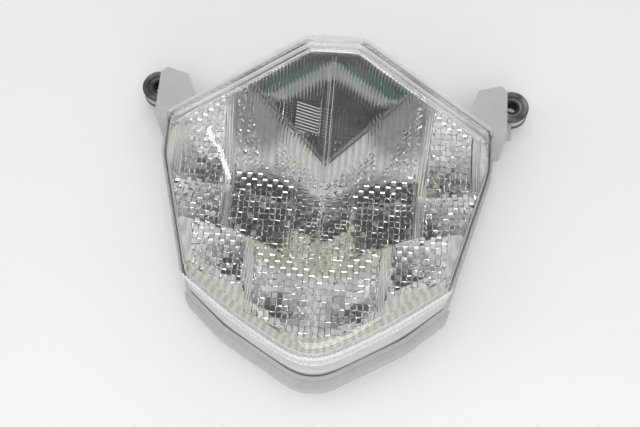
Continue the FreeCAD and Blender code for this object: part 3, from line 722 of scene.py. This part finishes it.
class Field:
    """One patch of prisms on the inner face of the lens."""

    def __init__(self, row, mirror):
        _, corners, self.pattern, across, along, depth, turn, sink = row
        self.corners = anticlockwise([Vector((x * mirror, y)) * MM for x, y in corners])
        self.across, self.along, self.depth = across * MM, along * MM, depth * MM
        self.sink = sink * MM
        angle = math.radians(turn) * mirror
        self.u = Vector((math.cos(angle), math.sin(angle)))
        self.v = Vector((-self.u.y, self.u.x))
        self.middle = sum(self.corners, Vector((0, 0))) / len(self.corners)

    def lines(self, axis_out, axis_along, pitch):
        """Parallel lines clipped to the field."""
        found = []
        for number in range(-int(SPAN / pitch), int(SPAN / pitch) + 1):
            base = self.middle + axis_out * (number * pitch)
            found.append(clip_line(base - axis_along * SPAN, base + axis_along * SPAN, self.corners))
        return [line for line in found if line]

    def segments(self):
        edges = loop_edges(self.corners)
        if self.pattern == FLUTE:
            edges += loop_edges(shrunk(self.corners, END_WALL))
            return edges + self.lines(self.u, self.v, self.across / FLUTE_STEPS)
        return (edges + self.lines(self.u, self.v, self.across)
                + self.lines(self.v, self.u, self.along))

    def spots(self):
        """Extra points inside each pillow."""
        if self.pattern != PILLOW:
            return []
        found = []
        count = int(FIELD_REACH / min(self.across, self.along))
        for column in range(-count, count):
            for row in range(-count, count):
                for share_u, share_v in CELL_SPOTS:
                    across = (column + share_u) * self.across
                    along = (row + share_v) * self.along
                    point = self.middle + self.u * across + self.v * along
                    if depth_inside(point, self.corners) > SPOT_CLEARANCE:
                        found.append(point)
        return found

    def depth_at(self, point):
        """Depth of the moulded surface below the inner face."""
        inside = depth_inside(point, self.corners)
        from_middle = point - self.middle
        u = from_middle.dot(self.u) / self.across
        if inside < 1e-6:
            return self.sink
        if self.pattern == FLUTE:
            return self.sink + self.depth * abs(math.sin(math.pi * u))
        v = from_middle.dot(self.v) / self.along
        column, row = math.floor(u), math.floor(v)
        across, along = u - column, v - row
        if min(across, 1 - across, along, 1 - along) < CELL_EDGE:
            return self.sink
        if self.below_top(point) < CHECK_ROWS:
            tilt = (1 if (column + row) % 2 else -1) * CHECK_TILT * (along - 0.5)
        else:
            tilt = CELL_TILT * ((across - 0.5) * math.sin(12.9 * column + 78.2 * row)
                                + (along - 0.5) * math.sin(39.3 * column + 11.1 * row))
        return self.sink + self.depth * (0.5 + tilt)

    def below_top(self, point):
        """How far a point is below the field's upper edge."""
        clipped = clip_line(point, point + Vector((0, PAST_TOP)), self.corners)
        return (clipped[1] - point).length if clipped else 0.0


def all_fields():
    fields = [Field(row, side) for side in (1, -1) for row in FIELDS]
    return fields + [Field(RIDGE, side) for side in (1, -1)]


SINK_LOW, SINK_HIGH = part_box("heat_sink")
PAD = 1.0 * MM                      # how far the clear pad stands out beside the sink
PAD_DROP = 7.0 * MM                 # the pad is set towards the tip, where the sink is seen


def sink_pad(grow):
    """Outline of the clear pad that takes the flutes' place over the sink."""
    left, right = SINK_LOW.x - grow, SINK_HIGH.x + grow
    low, high = SINK_LOW.y - PAD_DROP - grow, SINK_HIGH.y - PAD_DROP + grow
    return [Vector((left, low)), Vector((right, low)), Vector((right, high)), Vector((left, high))]


def optic_face(edge_ring):
    """The moulded inner face: points and triangles inside a ring of points."""
    points = [Vector((point.x, point.y)) for point in edge_ring]
    count = len(points)
    edges = [(index, (index + 1) % count) for index in range(count)]
    fields = all_fields()
    segments = [segment for field in fields for segment in field.segments()]
    pad = sink_pad(PAD)
    segments += loop_edges(pad) + loop_edges(sink_pad(PAD + END_WALL))
    for start, end in segments:
        edges.append((len(points), len(points) + 1))
        points += [start, end]
    for field in fields:
        points += field.spots()
    flat, _, triangles, _, _, _ = delaunay_2d_cdt(points, edges, [], 1, 2e-6)
    deep = []
    for point in flat:
        depth = 0.0
        if depth_inside(point, pad) < -1e-6:
            for field in fields:
                if depth_inside(point, field.corners) > -1e-6:
                    depth = field.depth_at(point)
                    break
        deep.append(Vector((point.x, point.y, INNER - depth)))
    return deep, triangles


def strip_ripple(index, flat):
    """Fine upright flutes on the lower wall only."""
    return 0.45 * MM * (index % 2) if flat.y < -0.5 * TIP else 0.0


def shade_lens(obj):
    """Smooth walls, but sharp edges between the faces of the moulded optics."""
    work = bmesh.new()
    work.from_mesh(obj.data)
    for face in work.faces:
        face.smooth = True
    for edge in work.edges:
        optic = all(INNER - OPTIC_DEPTH < vert.co.z < INNER + 0.1 * MM for vert in edge.verts)
        edge.smooth = not (len(edge.link_faces) == 2
                           and (optic or edge.calc_face_angle(0) > LENS_CREASE))
    work.to_mesh(obj.data)
    work.free()


def outer_ripple(index, flat):
    return strip_ripple(index // 2, flat)


LENS_BAND = FOOT + 3 * MM           # level where the lens's foot turns into its wall
LENS_EDGE = FACE - 4 * MM           # level where the wall turns into the front


def rise(height):
    """How far up the wall a level is, from 0 at the band to 1 at the front edge."""
    return max(0.0, (height - LENS_BAND) / (LENS_EDGE - LENS_BAND))


def make_lens():
    """The clear cap, outside and inside, as one closed skin."""
    none = (0.0, 0.0, 0.0)
    strip = FOOT + 17 * MM
    above_band = between(LENS_BAND, strip, 0.75)
    strip_end = FOOT + 28.5 * MM

    def inset(rim, side, low):
        return (rim * MM, side * MM, low * MM)

    outside = [ring(FOOT, 0, none), ring(LENS_BAND, 0, none),
               ring(LENS_BAND + 1.5 * MM, 0, inset(0, 0, 0.2)),
               ring(LENS_BAND + 2.5 * MM, rise(LENS_BAND), inset(0, 0, 1.2)),
               ring(LENS_BAND + 5 * MM, rise(LENS_BAND + 5 * MM), inset(0, 0, 1.5)),
               ring(above_band, rise(above_band), inset(0, 0, 1.1)),
               ring(strip - 0.6 * MM, rise(strip), inset(0, 0, 0.2)),
               ring(strip, rise(strip), inset(0, 0, 0.0)),
               ring(strip + 0.4 * MM, rise(strip), inset(0, 0, 0.6), outer_ripple),
               ring(strip_end, rise(strip_end), inset(0, 0, 0.6), outer_ripple),
               ring(strip_end + 0.3 * MM, rise(strip_end), inset(0, 0, 0.1))]
    walls = len(outside)
    crown = ((-0.2, 0.1, -0.2, 0.1, -0.2, 0.0), (0.5, 0.5, 0.4, 0.3, 0.2, 0.7),
             (0.9, 1.4, 0.8, 0.9, 0.4, 1.5), (1.0, 2.6, 0.9, 1.5, 0.7, 2.3),
             (0.4, 3.0, 0.9, 1.8, 1.2, 3.2), (0.5, 4.4, 1.2, 2.0, 1.6, 4.1),
             (1.7, 5.0, 1.8, 2.4, 2.1, 5.0), (1.9, 6.4, 2.2, 2.8, 2.6, 6.2),
             (1.6, 7.0, 2.6, 3.3, 3.0, 7.4), (2.9, 8.6, 3.1, 4.0, 3.3, 8.6),
             (3.6, 10.6, 3.6, 6.0, 3.6, 10.5))
    for rim_up, rim_in, side_up, side_in, low_up, low_in in crown:
        heights = tuple(LENS_EDGE + up * MM for up in (rim_up, side_up, low_up))
        outside.append(ring(heights, 1, inset(rim_in, side_in, low_in)))
    last = outside[-1]
    for share, drop in ((0.85, 0.3), (0.6, 0.15), (0.3, 0.05), (0.06, 0.0)):
        outside.append([Vector((point.x * share, point.y * share, FACE - drop * MM))
                        for point in last])
    wall = inset(2.4, 2.4, 2.4)
    inner_edge = ring(INNER, 1, inset(9.8, 3.2, 7.0))
    shoulder = ring((LENS_EDGE - 1.6 * MM, LENS_EDGE - 1.2 * MM, LENS_EDGE - 1.8 * MM), 1, wall)
    inside = [ring(FOOT, 0, wall), ring(LENS_BAND, 0, wall), ring(strip, rise(strip), wall),
              ring(strip + 0.2 * MM, rise(strip), wall, strip_ripple),
              ring(strip_end - 0.2 * MM, rise(strip_end), wall, strip_ripple),
              ring(strip_end, rise(strip_end), wall), shoulder,
              ring((LENS_EDGE - 0.6 * MM, INNER - 0.3 * MM, LENS_EDGE - 0.6 * MM), 1,
                   inset(7.4, 2.9, 4.8)),
              inner_edge]
    parts = Parts()
    parts.rings(outside[:walls], look=1)
    parts.rings(outside[walls - 1:])
    centre = sum(outside[-1], Vector()) / RING_COUNT
    fan = [(index, (index + 1) % RING_COUNT, RING_COUNT) for index in range(RING_COUNT)]
    parts.add(outside[-1] + [centre], fan)
    parts.rings(inside[:-3], look=1)
    parts.rings(inside[-4:])
    parts.rings([outside[0], inside[0]])
    points, triangles = optic_face(inner_edge)
    parts.add(points, triangles)
    obj = piece("lens_clear", parts.points, parts.faces, clear_lens, ("lens",))
    obj.data.materials.append(frosted_wall)
    obj.data.materials.append(hazy_wall)
    for face, look in zip(obj.data.polygons, parts.looks):
        face.material_index = 2 if look and face.center.y < -0.5 * TIP else look
    weld(obj, 1.5e-6)
    shade_lens(obj)


# ---------------------------------------------------------------- the reflector

DECK = 36.5 * MM                    # level of the reflector's deck behind the lens
SKIRT_END = FOOT + 3.4 * MM
BOWL_COUNT = 48                     # points round a bowl
# How a bowl narrows from its outline to its cup: share of the way and level in millimetres.
BOWL_LEVELS = ((0.15, 34.0), (0.4, 29.5), (0.75, 25.0), (1.0, 23.5))
CUP_HALF = 3.6 * MM
CUP_RIM = 7.0 * MM
CUP_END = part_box("tail_leds")[0].z + 1.8 * MM

# Bowls of the right half: outline in millimetres and the share of the half width and of the
# lower half height where the lamp inside sits.
BOWLS = (
    (((51.5, 52), (77, 33), (78, 6), (51.5, 2)), (62.5, 17.5)),
    (((49, 0.5), (76.5, 4), (70.5, -14), (49, -20.5)), (54.5, -11.0)),
    (((16, 5.5), (47, 12.5), (47, 1), (16, -4.5)), (36.3, 9.0)),
    (((16, -6), (47, -0.5), (47, -20.5), (36, -23.6), (16, -32)), (30.4, -17.5)),
    (((37, -25.5), (66, -16), (60, -36), (37, -46.5)), (43.5, -37.0)),
    (((2, -41.5), (34.5, -27.5), (34.5, -54), (14, -66.5), (2, -69.5)), (20.3, -57.0)),
    (((1.2, -1.5), (14.5, 4), (14.5, -18), (1.2, -24)), (9.0, -12.2)))


def bowl_reach(corners, centre, turn):
    """Where a ray from the bowl's lamp meets its outline."""
    ray = Vector((math.cos(turn), math.sin(turn)))
    best = 1.0
    for corner, following in zip(corners, corners[1:] + corners[:1]):
        side = following - corner
        out = Vector((side.y, -side.x)).normalized()
        lean = out.dot(ray)
        if lean > 1e-9:
            best = min(best, out.dot(corner - centre) / lean)
    return centre + ray * best


def bowl_rings(corners, centre):
    """Rings from the bowl's outline in the deck down to the lamp's cup."""
    turns = all_round(BOWL_COUNT)
    edge = [bowl_reach(corners, centre, turn) for turn in turns]
    rings = [[Vector((point.x, point.y, DECK)) for point in edge]]
    for share, height in BOWL_LEVELS:
        blended = []
        for point, turn in zip(edge, turns):
            reach = min(CUP_RIM, (point - centre).length)
            cup = centre + Vector((math.cos(turn), math.sin(turn))) * reach
            flat = point.lerp(cup, share)
            blended.append(Vector((flat.x, flat.y, height * MM)))
        rings.append(blended)
    return rings + [circle(centre.to_3d(), CUP_HALF, CUP_END, turns)]


def make_reflector():
    """Deck behind the lens with a bowl for each lamp, and a skirt inside the lens's wall."""
    gap = WALL + 1.0 * MM
    skirt = [ring(height, rise(height), (gap,) * 3)
             for height in (SKIRT_END, between(SKIRT_END, DECK, 0.5), DECK - 1.0 * MM)]
    deck_edge = ring(DECK, rise(DECK), (gap + 1.0 * MM,) * 3)[::6]
    skirt = [level[::6] for level in skirt] + [deck_edge]
    window_low, window_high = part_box("window_bezel")
    half = window_high.x + 0.6 * MM
    window = [Vector((-0.34 * half, window_high.y)), Vector((-half, 61.6 * MM)),
              Vector((0, window_low.y - 0.6 * MM)), Vector((half, 61.6 * MM)),
              Vector((0.34 * half, window_high.y))]
    holes = [window]
    parts = Parts()
    parts.rings(skirt, look=1)
    for corners, lamp in BOWLS:
        for mirror in (1, -1):
            points = anticlockwise([Vector((x * mirror, y)) * MM for x, y in corners])
            centre = Vector((lamp[0] * mirror, lamp[1])) * MM
            rings = bowl_rings(points, centre)
            parts.rings(rings)
            holes.append([Vector((point.x, point.y)) for point in rings[0]])
    flat = [Vector((point.x, point.y)) for point in deck_edge]
    edges = []
    start = 0
    for loop in [flat] + holes:
        edges += [(start + index, start + (index + 1) % len(loop)) for index in range(len(loop))]
        start += len(loop)
    points = flat + [point for loop in holes for point in loop]
    flat, _, triangles, _, _, _ = delaunay_2d_cdt(points, edges, [], 1, 2e-6)
    kept = []
    for triangle in triangles:
        middle = sum((flat[index] for index in triangle), Vector((0, 0))) / 3
        if all(depth_inside(middle, hole) < 0 for hole in holes):
            kept.append(triangle)
    parts.add([Vector((point.x, point.y, DECK)) for point in flat], kept, look=1)
    obj = parts.build("reflector_shell", [reflector_coat, reflector_deck],
                      ("reflector",), weld_within=2e-6, sharp_from=40)
    wall = obj.modifiers.new("wall", "SOLIDIFY")
    wall.thickness = 0.8 * MM
    wall.offset = -1


# ---------------------------------------------------------------- rubber, boards and small parts

def make_bushes():
    """Rubber bushes with a rounded ring on each face round a sunken middle."""
    for side in ("right", "left"):
        low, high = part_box("grommet_" + side)
        sleeve_low, sleeve_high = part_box("sleeve_" + side)
        centre = (low + high) / 2
        outer = (high.x - low.x) / 2
        bore = (sleeve_high.x - sleeve_low.x) / 2
        half = (high.z - low.z) / 2
        dish = high.z - sleeve_high.z
        neck = 6.5 * MM
        slot_half = 2.0 * MM
        upper = [(bore, half - dish), (6.0 * MM, half - dish), (6.3 * MM, half - 0.7 * MM),
                 (6.8 * MM, half - 0.15 * MM), (7.5 * MM, half), (8.3 * MM, half - 0.1 * MM),
                 (8.95 * MM, half - 0.5 * MM), (outer, half - 1.2 * MM),
                 (outer, half - 2.1 * MM), (outer - 0.3 * MM, slot_half + 0.3 * MM),
                 (outer - 0.8 * MM, slot_half), (neck, slot_half)]
        profile = upper + [(radius, -height) for radius, height in upper[::-1]]
        parts = Parts()
        parts.rings([circle(centre, radius, height, all_round(72))
                     for radius, height in profile + profile[:1]])
        parts.build("bush_" + side, [bush_rubber], ("grommet_" + side,),
                    weld_within=1e-6, sharp_from=40)


def make_leds(node_name, name):
    """Packages with a pale body, two soldered ends and a phosphor dome."""
    parts = Parts()
    for low, high in islands(node_name):
        size = high - low
        upright = size.y < size.z * 0.9 and size.y < size.x * 0.9
        if upright:
            parts.block(low, high, 0.15 * MM)
            continue
        body_top = low.z + 0.6 * size.z
        parts.block(low, Vector((high.x, high.y, body_top)), 0.15 * MM)
        centre = Vector(((low.x + high.x) / 2, (low.y + high.y) / 2, 0))
        radius = 0.38 * min(size.x, size.y)
        tall = high.z - body_top
        dome = [(radius * math.cos(turn), body_top + tall * math.sin(turn))
                for turn in (math.pi / 2 * step / 6 for step in range(6))]
        parts.turned(dome + [(radius * 0.05, high.z)], centre, 24, look=1)
        for end in (-1, 1):
            reach = size.x / 2 + 0.3 * MM
            parts.block(Vector((centre.x + end * reach - 0.35 * MM, low.y + 0.3 * MM, low.z)),
                        Vector((centre.x + end * reach + 0.35 * MM, high.y - 0.3 * MM,
                                low.z + 0.25 * MM)), 0.08 * MM, look=2)
    parts.build(name, [led_white, led_phosphor, tin_metal], (node_name,))


led_phosphor = plain_plastic("led_phosphor", (0.85, 0.72, 0.25, 1.0), grey(0.9), 0.25, dust=0.0,
                             Coat_Weight=0.5)


def make_chips():
    """Resistors and diodes with metal ends, and the driver with its legs."""
    for node_name, name, share in (("resistors", "resistor_bodies", 0.18),
                                   ("diodes", "diode_bodies", 0.12)):
        parts = Parts()
        for low, high in islands(node_name):
            end = (high.x - low.x) * share
            parts.block(Vector((low.x + end, low.y, low.z)),
                        Vector((high.x - end, high.y, high.z)), 0.08 * MM)
            for start in (low.x, high.x - end):
                parts.block(Vector((start, low.y, low.z)),
                            Vector((start + end, high.y, high.z - 0.05 * MM)), 0.06 * MM, look=1)
        parts.build(name, [chip_black, tin_metal], (node_name,))
    low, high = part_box("driver_chip")
    parts = Parts()
    parts.block(low, high, 0.2 * MM)
    for side in (low.y - 0.9 * MM, high.y):
        for leg in range(4):
            x = between(low.x, high.x, (leg + 0.5) / 4)
            parts.block(Vector((x - 0.2 * MM, side, low.z)),
                        Vector((x + 0.2 * MM, side + 0.9 * MM, low.z + 0.5 * MM)), 0.1 * MM, look=1)
    parts.build("driver_body", [chip_black, tin_metal], ("driver_chip",))


# ---------------------------------------------------------------- the whole lamp

make_lens()
make_reflector()
make_bushes()
make_leds("tail_leds", "tail_emitters")
make_leds("brake_leds", "brake_emitters")
make_leds("guide_leds", "guide_emitters")
make_chips()

CAD_LOOKS = {
    "housing": housing_plastic, "lens_seal": seal_rubber, "socket_seal": seal_rubber,
    "sleeve_right": sleeve_painted_shade, "sleeve_left": sleeve_painted_shade, "socket_body": dark_plastic,
    "socket_pins": tin_metal, "vent_membrane": membrane_white, "vent_cap": dark_plastic,
    "main_board": board_painted_shade, "reflector_screws": screw_metal,
    "window_bezel": bezel_plastic, "light_guide": clear_guide, "guide_board": board_green,
    "heat_sink": sink_metal, "plate_board": board_green, "plate_leds": led_white}
ROUNDED = {"housing": 0.6, "window_bezel": 0.2, "heat_sink": 0.08, "socket_body": 0.3,
           "vent_cap": 0.15, "light_guide": 0.3}
for node_name, look in CAD_LOOKS.items():
    cad_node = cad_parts[node_name]
    cad_node.data.materials.clear()
    cad_node.data.materials.append(look)
    if node_name in ROUNDED:
        soften(cad_node, ROUNDED[node_name] * MM)


# ---------------------------------------------------------------- floor, lights and camera

FLOOR_HALF = 3.0


def make_floor():
    mesh = bpy.data.meshes.new("floor")
    corners = ((-1, -1), (1, -1), (1, 1), (-1, 1))
    mesh.from_pydata([(x * FLOOR_HALF, y * FLOOR_HALF, 0) for x, y in corners], [], [(0, 1, 2, 3)])
    floor = bpy.data.objects.new("floor", mesh)
    bpy.context.scene.collection.objects.link(floor)
    material, tree, shader, _ = new_material("floor_paper")
    grain = placed(tree, GRAIN, Scale=400.0, Depth=0.03, Roughness=0.7)
    tree.links.new(grain.outputs["Normal"], shader.inputs["Normal"])
    set_shader(shader, Base_Color=grey(0.86, 0.004), Roughness=0.7)
    mesh.materials.append(material)


def area_light(name, place, aim, size_x, size_y, power):
    light = bpy.data.lights.new(name, "AREA")
    light.shape = "RECTANGLE"
    light.size = size_x
    light.size_y = size_y
    light.energy = power
    obj = bpy.data.objects.new(name, light)
    bpy.context.scene.collection.objects.link(obj)
    obj.location = place
    obj.rotation_euler = (Vector(aim) - Vector(place)).to_track_quat("-Z", "Y").to_euler()


def make_lights():
    world = bpy.data.worlds.new("studio")
    bpy.context.scene.world = world
    world.use_nodes = True
    tree = world.node_tree
    back = tree.nodes["Background"]
    sky = node(tree, "ShaderNodeTexCoord").outputs["Generated"]
    height = node(tree, "ShaderNodeSeparateXYZ", {0: sky}).outputs["Z"]
    tone = ramp(tree, height, ((0.0, 0.35), (0.35, 0.75), (1.0, 0.95)))
    tree.links.new(tone, back.inputs["Color"])
    back.inputs["Strength"].default_value = 0.71
    area_light("softbox_top", (0.1, -0.5, 1.0), (0, 0, 0), 0.7, 0.4, 3.4)
    area_light("softbox_back", (0.1, 0.95, 0.4), (0, 0.05, 0), 0.9, 0.3, 1.7)
    area_light("tube_left", (-0.232, 0.47, 0.963), (-0.052, 0.02, 0.044), 0.005, 0.135, 0.05)
    area_light("softbox_left", (-0.8, -0.1, 0.6), (0, 0, 0), 0.5, 0.7, 1.0)
    area_light("softbox_front", (0.15, -0.8, 0.4), (0, 0, 0), 0.9, 0.3, 2.0)


def make_camera():
    """Looks down at the lens from below its lower end, a little rolled."""
    target = Vector((-0.7, -9.7, 40)) * MM
    distance = 0.5
    elevation = math.radians(68)
    around = math.radians(7.8)
    roll = math.radians(-3.5)
    away = Vector((math.sin(around) * math.cos(elevation),
                   -math.cos(around) * math.cos(elevation), math.sin(elevation)))
    lens = bpy.data.cameras.new("camera")
    lens.lens = 56.25
    lens.sensor_width = 36
    lens.clip_start = 0.01
    obj = bpy.data.objects.new("camera", lens)
    bpy.context.scene.collection.objects.link(obj)
    obj.matrix_world = (Matrix.Translation(target + away * distance)
                        @ Matrix.Rotation(around, 4, "Z")
                        @ Matrix.Rotation(math.pi / 2 - elevation, 4, "X")
                        @ Matrix.Rotation(roll, 4, "Z"))
    bpy.context.scene.camera = obj


make_floor()
make_lights()
make_camera()
bpy.context.scene.view_settings.view_transform = "Standard"
